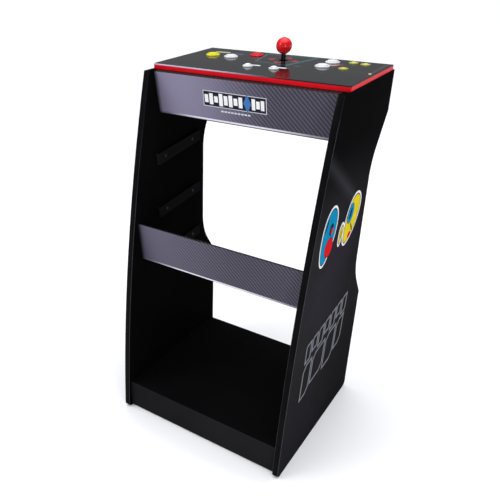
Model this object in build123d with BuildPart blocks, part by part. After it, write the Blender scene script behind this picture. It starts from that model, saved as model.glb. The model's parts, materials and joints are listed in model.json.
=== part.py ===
from build123d import *
import os
from collections import namedtuple
from math import atan2, cos, hypot, radians, sin, tan

os.makedirs("parts", exist_ok=True)

# Stand-up arcade control cabinet: two shaped side panels joined by cross boards, with a sloping control
# deck on top. Millimetres, +X to the player's right, +Y away from the player, +Z up. The origin is on
# the floor, in the middle of the footprint.

# ---- driving dimensions: carcass ----
WIDTH = 483.0              # over both side panels
DEPTH = 445.0              # foremost point of the panels to their rearmost
PANEL = 15.0               # board thickness
GLIDE = 1.0                # foot glide height under the panels
INNER = WIDTH - 2 * PANEL  # clear width between the side panels

FRONT_MIDDLE = (-172.8, 447.0)     # the panels' curved front edge passes through these two points (y, z)
FRONT_TOP = (-74.3, 891.5)
UPPER_CORNER_Z = 808.0             # back edge: foot of the upright part behind the control box
WAIST_Y = 152.0                    # back edge: forward-most line, between the two slants
WAIST_TOP_Z = 701.6
WAIST_BOTTOM_Z = 412.4
LOWER_BACK_Y = 214.3
LOWER_CORNER_Z = 325.4
BACK_RADII = [6, 132, 145, 10]     # the four corners of the back edge, from the top down
TOE_RADIUS = 12.0
TOE_SETBACK = 0.76         # what the rounded toe takes off the foremost point

TRIM = 1.6                 # thickness of the edge moulding's cap
BARB_DEPTH = 7.0           # how far the moulding's barb reaches into its groove
BARB = 1.2                 # barb thickness
GROOVE = 1.6               # groove width

# ---- driving dimensions: control deck ----
DECK_TILT = 1.3            # degrees, rising to the back
DECK_FRONT_Y = -41.6
DECK_WIDTH = 480.0
DECK_DEPTH = 255.6
DECK_BOARD = 10.6
OVERLAY = 0.6
DECK_THICKNESS = DECK_BOARD + OVERLAY
DECK_TRIM = 2.0
DECK_CORNER = 5.0

# ---- driving dimensions: cross boards, as (y, z) of the visible face's top and bottom edges ----
APRON_TOP, APRON_BOTTOM = (-56.3, 889.0), (-37.0, 788.0)
MID_TOP, MID_BOTTOM = (-142.5, 537.7), (-129.6, 431.4)
MID_BEVEL, MID_LAND = 35.0, 4.0     # the mid panel's top falls away to the back, behind a narrow flat
LIP_RADIUS = 8.0           # rounded bottom edge of the apron and the mid panel
KICK_Y, KICK_TOP_Z, KICK_BOTTOM_Z = -208.9, 84.0, 3.0
SHELF_Z, SHELF_BACK_Y = 79.0, 200.0
REAR_Y, REAR_BOTTOM_Z, REAR_TOP_Z = 214.0, 790.0, 897.5
BOX_FLOOR_Z, BOX_FLOOR_T = 804.0, 3.0

# ---- driving dimensions: runners on the side panels' inner faces, (y, z) of the front top corner ----
Runner = namedtuple("Runner", "y z length height slope")
RUNNERS = [
    Runner(-58.9, 695.8, 182.0, 29.0, 6.9),
    Runner(-58.5, 554.7, 182.0, 28.0, 6.1),
    Runner(-58.7, 423.2, 182.0, 28.0, 6.0),
]
RUNNER_T = 8.0

# ---- driving dimensions: fasteners ----
DOWEL_R, DOWEL_HOLE_R = 3.95, 4.0
DOWEL_IN_BOARD, DOWEL_IN_PANEL = 20.0, 10.0
CAM_R, CAM_T, CAM_REACH = 7.4, 12.5, 34.0
CAM_BOLT_R, CAM_BOLT_HOLE_R, CAM_BOLT_IN_PANEL = 3.0, 3.4, 11.0
SCREW_R, SCREW_HEAD_R, SCREW_HEAD_H, SCREW_LENGTH = 1.9, 3.7, 2.2, 19.0

# ---- driving dimensions: controls, as (x, distance from the deck's front edge, style) ----
JOYSTICK = (3.0, 183.0)
CONTROLS = {
    "yellow_button": (-177.5, 161.0, "large"),
    "white_button_left": (-125.0, 159.0, "large"),
    "red_button": (-81.3, 208.5, "large"),
    "white_button_front": (112.5, 156.0, "large"),
    "white_button_back": (114.0, 211.0, "large"),
    "start_button_left": (-32.0, 77.0, "small"),
    "start_button_right": (32.5, 79.0, "small"),
    "menu_button_front": (162.8, 152.6, "menu"),
    "menu_button_left": (158.0, 227.5, "menu"),
    "menu_button_right": (187.5, 220.5, "menu"),
}
# radius of bezel, barrel and plunger, height of the bezel's rim and of the plunger's shoulder over the deck
Style = namedtuple("Style", "bezel barrel plunger rim shoulder")
STYLES = {
    "large": Style(16.8, 14.0, 11.9, 3.2, 5.4),
    "small": Style(11.6, 9.0, 7.2, 3.2, 5.4),
    "menu": Style(11.6, 9.0, 7.2, 1.8, 2.6),
}
BUTTON_TRAVEL = 3.0
BARREL_DEPTH = 24.0
STEM_R = 1.9
SKIRT_DEPTH = 8.0          # how far a plunger's wide part reaches into its barrel
CROWN_RISE = 1.2           # height of a plunger's domed top over its shoulder
NUT_MARGIN, NUT_T = 3.4, 4.0
SWITCH_X, SWITCH_Y, SWITCH_H = 12.8, 6.4, 9.0       # a button's microswitch
SWITCH_TAB = (0.6, 3.2, -4.0)                       # its terminal's width, depth and reach
SLIDE_GAP = 0.3            # between a plunger and its barrel, and round the stem
HOLE_GAP = 0.3             # between a barrel and its hole in the deck

# ---- driving dimensions: joystick, heights measured from the deck's top surface ----
PIVOT_Z = -25.0
TILT_MAX = 7.0             # degrees each way about each pivot
BALL_R, BALL_Z = 18.4, 31.9
BALL_SEAT = BALL_Z - 4.0   # top of the shaft, inside the ball
SHAFT_R, COVER_R = 3.0, 5.4
DOME_R, DOME_T, DOME_ANGLE = 23.3, 1.5, 30.0
DECK_HOLE_R = 16.6         # opening for the stick through the deck board
OVERLAY_HOLE_R = 10.6      # and through the overlay sheet, which hides the dust dome's edge
HOUSING_X, HOUSING_Y, HOUSING_WALL = 60.0, 42.0, 2.5
PLATE_T = 1.6
PLATE_SHIFT = 6.0          # the plate's middle stands this far behind the stick
GATE_Z, GATE_T, GATE_GAP = -44.0, 3.0, 0.32
ACTUATOR_R, ACTUATOR_END = 7.0, -51.0
SHAFT_END = -53.0
SPRING_FOOT, SPRING_R, SPRING_WIRE, SPRING_PITCH, SPRING_H = -38.0, 5.2, 0.45, 2.0, 7.6
CROSS_PIN_R = 1.5
HOUSING_TOP = -DECK_THICKNESS - PLATE_T
RUNNING_GAP = 0.05         # radial clearance of a pin in its bore
CLIP_Z, CLIP_T = -51.6, 0.6
PLATE_SCREW_R = 2.0

# ---- driving dimensions: rear sockets ----
ROCKER_X, INLET_X, SOCKET_Z = 118.0, 156.0, 846.0
ROCKER_BODY_X, ROCKER_BODY_Z, ROCKER_BODY_DEPTH = 19.0, 13.0, 14.0
ROCKER_REST = 10.0         # degrees the rocker leans when off
ROCKER_HALF = 7.2          # half the rocker's length
AXLE_END = 6.2             # how far its stub axles reach above and below its middle
STUB_R = 1.15
INLET_R = 6.0
SOCKET_GAP = 0.2           # between a socket's body and its opening in the rear panel


def save(part, name):
    part.part.label = name
    export_step(part.part, f"parts/{name}.step")


def face_plane(top, bottom):
    """Plane on a board's front face, local +Y up the board, origin at the face's middle."""
    rise, run = top[1] - bottom[1], bottom[0] - top[0]
    lean = atan2(run, rise)
    middle = (0, (top[0] + bottom[0]) / 2, (top[1] + bottom[1]) / 2)
    return Plane(origin=middle, x_dir=(1, 0, 0), z_dir=(0, -cos(lean), -sin(lean)))


def face_height(top, bottom):
    return hypot(top[0] - bottom[0], top[1] - bottom[1])


def underside_z(y):
    """Height of the deck's underside at y."""
    return FRONT_TOP[1] + (y - FRONT_TOP[0]) * tan(radians(DECK_TILT))


DECK_UNDER = Plane(
    origin=(0, DECK_FRONT_Y, underside_z(DECK_FRONT_Y)),
    x_dir=(1, 0, 0),
    z_dir=(0, -sin(radians(DECK_TILT)), cos(radians(DECK_TILT))),
)


def rear_socket(x):
    """Plane on the rear panel's outer face, at a socket's middle."""
    return Plane(origin=(x, REAR_Y, SOCKET_Z), x_dir=(-1, 0, 0), z_dir=(0, 1, 0))


def deck_plane(x, y, height=0.0):
    """Plane along the deck, at a place on it and a height over its top surface."""
    here = DECK_UNDER.offset(DECK_THICKNESS + height)
    return Plane(origin=here.from_local_coords((x, y, 0)), x_dir=(1, 0, 0), z_dir=here.z_dir)


def disc(plane, radius, amount, mode=Mode.ADD, inner=0.0):
    """Round boss, or ring if inner is given, from a plane along its normal."""
    with BuildSketch(plane) as profile:
        Circle(radius)
        if inner:
            Circle(inner, mode=Mode.SUBTRACT)
    extrude(profile.sketch, amount=amount, mode=mode)


def block(plane, width, height, amount, mode=Mode.ADD, corner=0.0):
    """Rectangular prism from a plane along its normal."""
    with BuildSketch(plane) as profile:
        if corner:
            RectangleRounded(width, height, corner)
        else:
            Rectangle(width, height)
    extrude(profile.sketch, amount=amount, mode=mode)


# ---- cross boards: visible face's plane, height, places of dowels and cams along it ----
Board = namedtuple("Board", "plane height dowels cams")
BOARDS = {
    "front_apron": Board(face_plane(APRON_TOP, APRON_BOTTOM), face_height(APRON_TOP, APRON_BOTTOM),
                         (-36, 36), (0,)),
    "mid_panel": Board(face_plane(MID_TOP, MID_BOTTOM), face_height(MID_TOP, MID_BOTTOM), (-36, 36), (0,)),
    "kick_panel": Board(face_plane((KICK_Y, KICK_TOP_Z), (KICK_Y, KICK_BOTTOM_Z)), KICK_TOP_Z - KICK_BOTTOM_Z,
                        (-26, 26), (0,)),
    "bottom_shelf": Board(
        Plane(origin=(0, (KICK_Y + PANEL + SHELF_BACK_Y) / 2, SHELF_Z), x_dir=(1, 0, 0), z_dir=(0, 0, 1)),
        SHELF_BACK_Y - KICK_Y - PANEL, (-160, 160), (-95, 95)),
    "rear_kick_rail": Board(
        Plane(origin=(0, SHELF_BACK_Y, (SHELF_Z - PANEL + KICK_BOTTOM_Z) / 2), x_dir=(-1, 0, 0),
              z_dir=(0, 1, 0)),
        SHELF_Z - PANEL - KICK_BOTTOM_Z, (-18, 18), (0,)),
    "rear_panel": Board(
        Plane(origin=(0, REAR_Y, (REAR_TOP_Z + REAR_BOTTOM_Z) / 2), x_dir=(-1, 0, 0), z_dir=(0, 1, 0)),
        REAR_TOP_Z - REAR_BOTTOM_Z, (-38, 38), (0,)),
}
SIDES = (-1, 1)


def end_plane(board, place, side):
    """Plane where a board's end meets a side panel, at a fastener; its normal points into the panel."""
    local_side = side * board.plane.x_dir.X
    origin = board.plane.from_local_coords((local_side * INNER / 2, place, -PANEL / 2))
    return Plane(origin=origin, z_dir=(side, 0, 0))


def dowel_planes(sides=SIDES):
    return [end_plane(b, v, s) for b in BOARDS.values() for v in b.dowels for s in sides]


def cam_planes(sides=SIDES):
    return [end_plane(b, v, s) for b in BOARDS.values() for v in b.cams for s in sides]


def cam_lock_planes(board):
    """Planes on a board's hidden face, normal into the board, one for each cam lock."""
    back = board.plane.offset(-PANEL)
    places = [(s * (INNER / 2 - CAM_REACH), v, 0) for v in board.cams for s in SIDES]
    return [Plane(origin=back.from_local_coords(p), x_dir=(1, 0, 0), z_dir=back.z_dir) for p in places]


# ---- wood screws: planes at the head, normal out of the wood ----
def runner_plane(runner, side):
    """Plane on a runner's inner face: local +Y up, local +X along the runner to the back."""
    slope = radians(runner.slope)
    corner = Vector(side * (INNER / 2 - RUNNER_T), runner.y, runner.z)
    return Plane(origin=corner, x_dir=(0, cos(slope), sin(slope)), z_dir=(-side, 0, 0))


def runner_screw_planes(side):
    planes = []
    for runner in RUNNERS:
        face = runner_plane(runner, side)
        down = -runner.height / 2 if face.y_dir.Z > 0 else runner.height / 2
        for along in (0.15 * runner.length, 0.8 * runner.length):
            origin = face.from_local_coords((along, down, 0))
            planes.append(Plane(origin=origin, z_dir=(-side, 0, 0)))
    return planes


CLEAT = 18.0
CLEAT_LENGTH = 190.0
CLEAT_START = 30.0         # from the deck's front edge


def deck_cleat_plane(side):
    """Plane under the deck at a cleat's middle."""
    origin = DECK_UNDER.from_local_coords((side * (INNER - CLEAT) / 2, CLEAT_START + CLEAT_LENGTH / 2, 0))
    return Plane(origin=origin, x_dir=(1, 0, 0), z_dir=DECK_UNDER.z_dir)


def floor_cleat_plane(side):
    """Plane on top of the cleat that carries the control box's floor."""
    return Plane(origin=(side * (INNER - CLEAT) / 2, 88.0, BOX_FLOOR_Z), x_dir=(1, 0, 0), z_dir=(0, 0, 1))


def cleat_screw_planes(side):
    planes = []
    for along in (-70, 70):
        deck, floor = deck_cleat_plane(side), floor_cleat_plane(side)
        under = deck.offset(-CLEAT).from_local_coords((0, along, 0))
        planes.append(Plane(origin=under, z_dir=-deck.z_dir))
        for base in (deck, floor):
            origin = base.from_local_coords((-side * CLEAT / 2, along + 22, -CLEAT / 2))
            planes.append(Plane(origin=origin, z_dir=(-side, 0, 0)))
        top = floor.offset(BOX_FLOOR_T).from_local_coords((0, along, 0))
        planes.append(Plane(origin=top, z_dir=(0, 0, 1)))
    return planes


def screw_planes(sides=SIDES):
    return [p for s in sides for p in runner_screw_planes(s) + cleat_screw_planes(s)]


def cut_screws(sides=SIDES):
    for plane in screw_planes(sides):
        screw(plane, Mode.SUBTRACT)


def screw(plane, mode=Mode.ADD):
    """Countersunk wood screw, head flush with the plane."""
    with Locations(plane.location):
        Cylinder(SCREW_R, SCREW_LENGTH, align=(Align.CENTER, Align.CENTER, Align.MAX), mode=mode)
        Cone(SCREW_R, SCREW_HEAD_R, SCREW_HEAD_H, align=(Align.CENTER, Align.CENTER, Align.MAX), mode=mode)


# ---- side panels and their edge moulding ----
def side_outline(x, inset):
    """Side panel's outline in the YZ plane at x, its front and back edges set in by inset."""
    front, back = -DEPTH / 2 - TOE_SETBACK + inset, DEPTH / 2 - inset
    top = FRONT_TOP[0] + inset
    with BuildSketch(Plane.YZ.offset(x)) as outline:
        with BuildLine():
            curve = ThreePointArc(
                (front, GLIDE), (FRONT_MIDDLE[0] + inset, FRONT_MIDDLE[1]), (top, underside_z(top))
            )
            rear = FilletPolyline(
                (back, underside_z(back)),
                (back, UPPER_CORNER_Z),
                (WAIST_Y - inset, WAIST_TOP_Z),
                (WAIST_Y - inset, WAIST_BOTTOM_Z),
                (LOWER_BACK_Y - inset, LOWER_CORNER_Z),
                (LOWER_BACK_Y - inset, GLIDE),
                radius=BACK_RADII,
            )
            Line(curve @ 1, rear @ 0)
            Line(rear @ 1, curve @ 0)
        make_face()
        toe = outline.vertices().group_by(Axis.Y)[0].sort_by(Axis.X)[0]
        heel = outline.vertices().group_by(Axis.Y)[0].sort_by(Axis.X)[-1]
        fillet((toe, heel), radius=TOE_RADIUS)
    return outline.sketch


for side, name in ((-1, "left"), (1, "right")):
    inner_x = side * INNER / 2
    middle_x = inner_x + side * PANEL / 2

    with BuildPart() as panel:
        extrude(side_outline(inner_x, TRIM), amount=side * PANEL)
        groove = extrude(side_outline(middle_x - GROOVE / 2, TRIM), amount=GROOVE, mode=Mode.PRIVATE)
        core = extrude(side_outline(middle_x - GROOVE / 2, TRIM + BARB_DEPTH + 1), amount=GROOVE,
                       mode=Mode.PRIVATE)
        add(groove - core, mode=Mode.SUBTRACT)
        for plane in dowel_planes((side,)):
            disc(plane, DOWEL_HOLE_R, DOWEL_IN_PANEL + 0.5, Mode.SUBTRACT)
        for plane in cam_planes((side,)):
            disc(plane, CAM_BOLT_R, CAM_BOLT_IN_PANEL, Mode.SUBTRACT)
        cut_screws((side,))
    save(panel, f"{name}_side_panel")

    with BuildPart() as edge_trim:
        cap = extrude(side_outline(inner_x, 0), amount=side * PANEL, mode=Mode.PRIVATE)
        body = extrude(side_outline(inner_x, TRIM), amount=side * PANEL, mode=Mode.PRIVATE)
        web = extrude(side_outline(middle_x - BARB / 2, TRIM), amount=BARB, mode=Mode.PRIVATE)
        hollow = extrude(side_outline(middle_x - BARB / 2, TRIM + BARB_DEPTH), amount=BARB, mode=Mode.PRIVATE)
        add(cap - body)
        add(web - hollow)
        split(bisect_by=Plane.XY.offset(GLIDE + 3), keep=Keep.TOP)
    save(edge_trim, f"{name}_edge_trim")

    with BuildPart() as runners:
        for runner in RUNNERS:
            face = runner_plane(runner, side)
            up = 1 if face.y_dir.Z > 0 else -1
            with BuildSketch(face) as bar:
                with Locations((runner.length / 2, -up * runner.height / 2)):
                    Rectangle(runner.length, runner.height)
            extrude(bar.sketch, amount=-RUNNER_T)
        cut_screws((side,))
    save(runners, f"{name}_runners")

# ---- cross boards ----
for name, board in BOARDS.items():
    with BuildPart() as cross:
        block(board.plane, INNER, board.height, -PANEL)
        if name in ("front_apron", "mid_panel"):
            low_front = cross.edges().filter_by(Axis.X).group_by(Axis.Z)[0].sort_by(Axis.Y)[0]
            fillet(low_front, radius=LIP_RADIUS)
        if name == "mid_panel":
            slope, ridge = radians(MID_BEVEL), board.plane.from_local_coords((0, board.height / 2, -MID_LAND))
            normal = board.plane.y_dir * cos(slope) - board.plane.z_dir * sin(slope)
            split(bisect_by=Plane(origin=ridge, x_dir=(1, 0, 0), z_dir=normal), keep=Keep.BOTTOM)
        for plane in [end_plane(board, v, s) for v in board.dowels for s in SIDES]:
            disc(plane, DOWEL_HOLE_R, -(DOWEL_IN_BOARD + 0.5), Mode.SUBTRACT)
        for plane in [end_plane(board, v, s) for v in board.cams for s in SIDES]:
            disc(plane, CAM_BOLT_HOLE_R, -(CAM_REACH + 3), Mode.SUBTRACT)
        for plane in cam_lock_planes(board):
            disc(plane, CAM_R + 0.1, CAM_T, Mode.SUBTRACT)
        if name == "rear_panel":
            opening = 2 * SOCKET_GAP
            block(rear_socket(ROCKER_X), ROCKER_BODY_X + opening, ROCKER_BODY_Z + opening, -PANEL,
                  Mode.SUBTRACT)
            disc(rear_socket(INLET_X), INLET_R + SOCKET_GAP / 2, -PANEL, Mode.SUBTRACT)
    save(cross, name)

# ---- cabinet fasteners ----
with BuildPart() as dowel_pins:
    for plane in dowel_planes():
        disc(plane.offset(-DOWEL_IN_BOARD), DOWEL_R, DOWEL_IN_BOARD + DOWEL_IN_PANEL)
save(dowel_pins, "dowel_pins")

with BuildPart() as cam_bolts:
    for plane in cam_planes():
        disc(plane.offset(-CAM_REACH + 1.5), CAM_BOLT_R, CAM_REACH - 1.5 + CAM_BOLT_IN_PANEL)
save(cam_bolts, "cam_bolts")

with BuildPart() as cam_locks:
    for board in BOARDS.values():
        for plane in cam_lock_planes(board):
            disc(plane, CAM_R, CAM_T - 0.5)
            block(plane, 9, 1.6, 2, Mode.SUBTRACT)
            block(plane, 1.6, 9, 2, Mode.SUBTRACT)
    for plane in cam_planes():
        disc(plane, CAM_BOLT_HOLE_R, -(CAM_REACH + 3), Mode.SUBTRACT)
save(cam_locks, "cam_locks")

with BuildPart() as wood_screws:
    for plane in screw_planes():
        screw(plane)
        block(plane, 4.4, 0.8, -1, Mode.SUBTRACT)
        block(plane, 0.8, 4.4, -1, Mode.SUBTRACT)
save(wood_screws, "wood_screws")

with BuildPart() as foot_glides:
    for side in SIDES:
        for y in (-190.0, 190.0):
            disc(Plane(origin=(side * (WIDTH - PANEL) / 2, y, 0)), 6.5, GLIDE)
    fillet(foot_glides.edges().group_by(Axis.Z)[0], radius=0.5)
save(foot_glides, "foot_glides")

with BuildPart() as box_cleats:
    for side in SIDES:
        block(deck_cleat_plane(side), CLEAT, CLEAT_LENGTH, -CLEAT)
        block(floor_cleat_plane(side), CLEAT, CLEAT_LENGTH, -CLEAT)
    cut_screws()
save(box_cleats, "box_cleats")

# ---- control box floor, speaker and electronics ----
SPEAKER = (-110.0, 90.0)
SPEAKER_R = 33.0
BOX_FLOOR_TOP = BOX_FLOOR_Z + BOX_FLOOR_T
floor_front = APRON_BOTTOM[0] + PANEL + 1.0
floor_back = REAR_Y - PANEL - 0.5

with BuildPart() as box_floor:
    floor_plane = Plane(origin=(0, (floor_front + floor_back) / 2, BOX_FLOOR_Z))
    block(floor_plane, INNER - 1, floor_back - floor_front, BOX_FLOOR_T)
    with Locations(Plane(origin=(SPEAKER[0], SPEAKER[1], BOX_FLOOR_TOP)).location):
        with HexLocations(4.2, 7, 7):
            Hole(2.2)
    cut_screws()
save(box_floor, "control_box_floor")

speaker_plane = Plane(origin=(SPEAKER[0], SPEAKER[1], BOX_FLOOR_TOP))
speaker_section = Plane(origin=speaker_plane.origin, x_dir=(1, 0, 0), z_dir=(0, -1, 0))
with BuildPart() as speaker_basket:
    disc(speaker_plane, SPEAKER_R + 6, 2.0, inner=SPEAKER_R - 6)
    with BuildSketch(speaker_section) as shell:
        Polygon((28, 2), (31, 2), (17, 18), (14, 18), align=None)
    revolve(shell.sketch, axis=Axis(speaker_plane.origin, (0, 0, 1)))
    for angle in range(0, 360, 60):
        window = speaker_plane.offset(6).rotated((0, 0, angle))
        with BuildSketch(window) as gap:
            with Locations((24, 0)):
                Rectangle(20, 9)
        extrude(gap.sketch, amount=9, mode=Mode.SUBTRACT)
save(speaker_basket, "speaker_basket")

with BuildPart() as speaker_cone:
    with BuildSketch(speaker_section) as cone:
        Polygon((0, 12), (9, 12), (24.5, 3), (26, 3), (26, 3.8), (25, 3.8), (9.5, 12.9), (0, 12.9),
                align=None)
    revolve(cone.sketch, axis=Axis(speaker_plane.origin, (0, 0, 1)))
save(speaker_cone, "speaker_cone")

with BuildPart() as speaker_magnet:
    disc(speaker_plane.offset(18), 20, 9)
    chamfer(speaker_magnet.edges().group_by(Axis.Z)[-1], length=1)
save(speaker_magnet, "speaker_magnet")

BOARD_CENTRE, BOARD_X, BOARD_Y, BOARD_T = (60.0, 105.0), 110.0, 76.0, 1.6
BOARD_LIFT = 8.0
STANDOFFS = (BOARD_X - 10, BOARD_Y - 10, 2, 2)
with BuildPart() as main_board:
    pcb_plane = Plane(origin=(*BOARD_CENTRE, BOX_FLOOR_TOP + BOARD_LIFT))
    block(pcb_plane, BOARD_X, BOARD_Y, BOARD_T, corner=3)
    with Locations(pcb_plane.location):
        with GridLocations(*STANDOFFS):
            Hole(1.6)
save(main_board, "main_board")

with BuildPart() as board_chips:
    for x, y, width, depth, height in ((-20, 5, 18, 18, 2.2), (14, 8, 14, 9, 1.8), (36, -12, 9, 12, 8),
                                       (-38, -24, 22, 6, 7), (-8, -25, 22, 6, 7), (20, -25, 16, 6, 7)):
        place = Plane(origin=pcb_plane.from_local_coords((x, y, BOARD_T)))
        block(place, width, depth, height)
save(board_chips, "board_components")

with BuildPart() as standoffs:
    with Locations(Plane(origin=(*BOARD_CENTRE, BOX_FLOOR_TOP)).location):
        with GridLocations(*STANDOFFS):
            Cylinder(3, BOARD_LIFT, align=(Align.CENTER, Align.CENTER, Align.MIN))
save(standoffs, "board_standoffs")

# ---- power rocker and supply inlet on the rear panel ----
socket = rear_socket(ROCKER_X)
rocker_axis = socket.offset(-1.0)
with BuildPart() as switch_body:
    block(socket, ROCKER_BODY_X, ROCKER_BODY_Z, -ROCKER_BODY_DEPTH)
    block(socket, ROCKER_BODY_X + 2, ROCKER_BODY_Z + 2, 2, corner=1)
    block(socket.offset(-12), ROCKER_BODY_X - 2.6, ROCKER_BODY_Z - 2.6, 20, Mode.SUBTRACT)
    for x in (-6, 0, 6):
        tab = Plane(origin=socket.from_local_coords((x, 0, -ROCKER_BODY_DEPTH)), x_dir=(-1, 0, 0),
                    z_dir=(0, 1, 0))
        block(tab, 0.8, 4.8, -7)
    for end in SIDES:
        bearing_start = rocker_axis.from_local_coords((0, end * (AXLE_END - 1), 0))
        bearing = Plane(origin=bearing_start, z_dir=(0, 0, end))
        disc(bearing, STUB_R + RUNNING_GAP, 1.3, Mode.SUBTRACT)
save(switch_body, "power_switch_body")

with BuildPart() as rocker:
    lean = radians(ROCKER_REST)
    leaning = Plane(origin=rocker_axis.origin, x_dir=(-cos(lean), sin(lean), 0),
                    z_dir=(sin(lean), cos(lean), 0))
    lower_end = leaning.from_local_coords((0, -4.8, 0))
    with BuildSketch(Plane(origin=lower_end, x_dir=leaning.x_dir, z_dir=-leaning.y_dir)) as outline:
        Polygon((-ROCKER_HALF, -4.0), (0, -2.2), (ROCKER_HALF, -4.0), (ROCKER_HALF - 0.2, 3.0),
                (0.2 - ROCKER_HALF, 3.0), align=None)
    extrude(outline.sketch, amount=-9.6)
    stub_end = leaning.from_local_coords((0, -AXLE_END, 0))
    disc(Plane(origin=stub_end, z_dir=(0, 0, 1)), STUB_R, 2 * AXLE_END)
save(rocker, "power_rocker")

inlet = rear_socket(INLET_X)
with BuildPart() as dc_inlet:
    disc(inlet, INLET_R, -22)
    disc(inlet, INLET_R + 2, 2.0)
    disc(inlet.offset(2), 2.9, -12, Mode.SUBTRACT)
    disc(inlet.offset(-10), 1.0, 11)
save(dc_inlet, "dc_inlet")

with BuildPart() as inlet_nut:
    with BuildSketch(inlet.offset(-PANEL)) as hexagon:
        RegularPolygon(INLET_R + 3, 6)
        Circle(INLET_R + RUNNING_GAP, mode=Mode.SUBTRACT)
    extrude(hexagon.sketch, amount=-3)
save(inlet_nut, "dc_inlet_nut")

# ---- control deck ----
def deck_sheet(plane, inset, amount, mode=Mode.ADD):
    """Solid with the deck's outline set in by inset on the front and the sides."""
    with BuildSketch(plane) as outline:
        with Locations((0, (inset + DECK_DEPTH) / 2)):
            Rectangle(DECK_WIDTH - 2 * inset, DECK_DEPTH - inset)
        front_corners = outline.vertices().group_by(Axis.Y)[0]
        fillet(front_corners, radius=max(DECK_CORNER - inset, 1.0))
    return extrude(outline.sketch, amount=amount, mode=mode)


def cut_control_holes(amount, stick_hole):
    """Holes for the buttons and the joystick, down from the deck's top surface."""
    for x, y, style in CONTROLS.values():
        disc(deck_plane(x, y), STYLES[style].barrel + HOLE_GAP, -amount, Mode.SUBTRACT)
    disc(deck_plane(*JOYSTICK), stick_hole, -amount, Mode.SUBTRACT)


def plate_screw_planes():
    """Planes on the deck's underside at the joystick plate's four screws, normal up into the deck."""
    under = deck_plane(*JOYSTICK, -DECK_THICKNESS)
    return [
        Plane(origin=under.from_local_coords((x, y + PLATE_SHIFT, 0)), x_dir=(1, 0, 0), z_dir=under.z_dir)
        for x in (-37, 37) for y in (-19, 19)
    ]


groove_plane = DECK_UNDER.offset((DECK_THICKNESS - GROOVE) / 2)
barb_plane = DECK_UNDER.offset((DECK_THICKNESS - BARB) / 2)

with BuildPart() as deck_board:
    deck_sheet(DECK_UNDER, DECK_TRIM, DECK_BOARD)
    slot = deck_sheet(groove_plane, DECK_TRIM, GROOVE, Mode.PRIVATE)
    centre = deck_sheet(groove_plane, DECK_TRIM + BARB_DEPTH + 1, GROOVE, Mode.PRIVATE)
    add(slot - centre, mode=Mode.SUBTRACT)
    cut_control_holes(DECK_THICKNESS, DECK_HOLE_R)
    for plane in plate_screw_planes():
        disc(plane, PLATE_SCREW_R, 9.5, Mode.SUBTRACT)
    cut_screws()
save(deck_board, "deck_board")

with BuildPart() as deck_overlay:
    deck_sheet(DECK_UNDER.offset(DECK_BOARD), DECK_TRIM, OVERLAY)
    cut_control_holes(OVERLAY, OVERLAY_HOLE_R)
save(deck_overlay, "deck_overlay")

with BuildPart() as deck_edge_trim:
    cap = deck_sheet(DECK_UNDER, 0, DECK_THICKNESS, Mode.PRIVATE)
    body = deck_sheet(DECK_UNDER, DECK_TRIM, DECK_THICKNESS, Mode.PRIVATE)
    web = deck_sheet(barb_plane, DECK_TRIM, BARB, Mode.PRIVATE)
    hollow = deck_sheet(barb_plane, DECK_TRIM + BARB_DEPTH, BARB, Mode.PRIVATE)
    add(cap - body)
    add(web - hollow)
save(deck_edge_trim, "deck_edge_trim")

# ---- buttons ----
for group, size in STYLES.items():
    with BuildPart() as bodies:
        for x, y, style in CONTROLS.values():
            if style == group:
                bore = size.plunger + SLIDE_GAP
                top = deck_plane(x, y)
                with BuildSketch(Plane(origin=top.origin, x_dir=(1, 0, 0), z_dir=-top.y_dir)) as half:
                    with BuildLine():
                        Polyline((bore, 0), (bore, size.rim - 0.6), (bore + 0.6, size.rim),
                                 (size.bezel - 2.2, size.rim))
                        ThreePointArc((size.bezel - 2.2, size.rim), (size.bezel - 0.65, size.rim - 0.4),
                                      (size.bezel, 0.6))
                        Polyline((size.bezel, 0.6), (size.bezel, 0), (size.barrel, 0),
                                 (size.barrel, -BARREL_DEPTH), (STEM_R + SLIDE_GAP, -BARREL_DEPTH),
                                 (STEM_R + SLIDE_GAP, -BARREL_DEPTH + 2), (bore, -BARREL_DEPTH + 2),
                                 (bore, 0))
                    make_face()
                revolve(half.sketch, axis=Axis(top.origin, top.z_dir))
    save(bodies, f"{group}_button_bodies")

stem_end = BUTTON_TRAVEL + SLIDE_GAP - BARREL_DEPTH
for name, (x, y, style) in CONTROLS.items():
    size = STYLES[style]
    top = deck_plane(x, y)
    flat = size.plunger - 1.4
    dome_r = (flat ** 2 + CROWN_RISE ** 2) / (2 * CROWN_RISE)
    half_way = size.shoulder + CROWN_RISE - dome_r + (dome_r ** 2 - flat ** 2 / 4) ** 0.5
    with BuildPart() as plunger:
        with BuildSketch(Plane(origin=top.origin, x_dir=(1, 0, 0), z_dir=-top.y_dir)) as half:
            with BuildLine():
                shoulder = size.shoulder
                Polyline((0, shoulder + CROWN_RISE), (0, stem_end), (STEM_R, stem_end),
                         (STEM_R, -SKIRT_DEPTH), (size.plunger, -SKIRT_DEPTH),
                         (size.plunger, shoulder - 1.4))
                ThreePointArc((size.plunger, shoulder - 1.4), (size.plunger - 0.41, shoulder - 0.41),
                              (flat, shoulder))
                ThreePointArc((flat, shoulder), (flat / 2, half_way), (0, shoulder + CROWN_RISE))
            make_face()
        revolve(half.sketch, axis=Axis(top.origin, top.z_dir))
    save(plunger, name)

with BuildPart() as button_nuts:
    for x, y, style in CONTROLS.values():
        barrel = STYLES[style].barrel
        with BuildSketch(deck_plane(x, y, -DECK_THICKNESS)) as ring:
            RegularPolygon(barrel + NUT_MARGIN, 12)
            Circle(barrel + RUNNING_GAP, mode=Mode.SUBTRACT)
        extrude(ring.sketch, amount=-NUT_T)
save(button_nuts, "button_nuts")

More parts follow.
